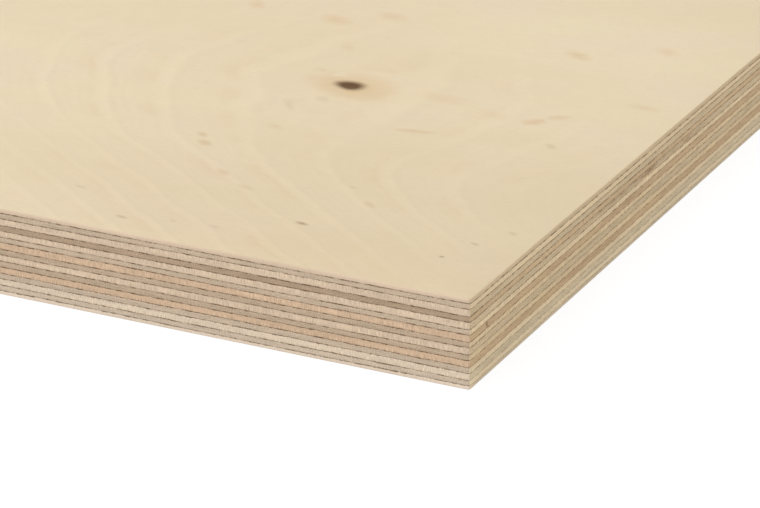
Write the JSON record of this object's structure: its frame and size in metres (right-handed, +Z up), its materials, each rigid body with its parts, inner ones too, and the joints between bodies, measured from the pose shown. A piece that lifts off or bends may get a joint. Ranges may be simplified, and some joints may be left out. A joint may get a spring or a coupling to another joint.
{
  "type": "plywood sheet",
  "caption": "Full flat sheet of birch plywood: rotary-cut veneers glued with crossed grain, a pale sanded face and back, and sawn edges that show the plies.",
  "frame": {"origin": "middle of the underside, on the floor the sheet lies on", "axes": "+X along the sheet's length and the face grain, +Y across its width, +Z up out of the face"},
  "size_m": [2.44, 1.22, 0.021],
  "materials": {
    "outer_birch": "satin",
    "long_birch": "matte",
    "cross_birch": "matte"
  },
  "bodies": {
    "root": {"face_veneer": "outer_birch", "cross_ply_02": "cross_birch", "long_ply_03": "long_birch", "cross_ply_04": "cross_birch", "long_ply_05": "long_birch", "cross_ply_06": "cross_birch", "long_ply_07": "long_birch", "cross_ply_08": "cross_birch", "long_ply_09": "long_birch", "cross_ply_10": "cross_birch", "long_ply_11": "long_birch", "cross_ply_12": "cross_birch", "long_ply_13": "long_birch", "cross_ply_14": "cross_birch", "back_veneer": "outer_birch"}
  },
  "joints": []
}
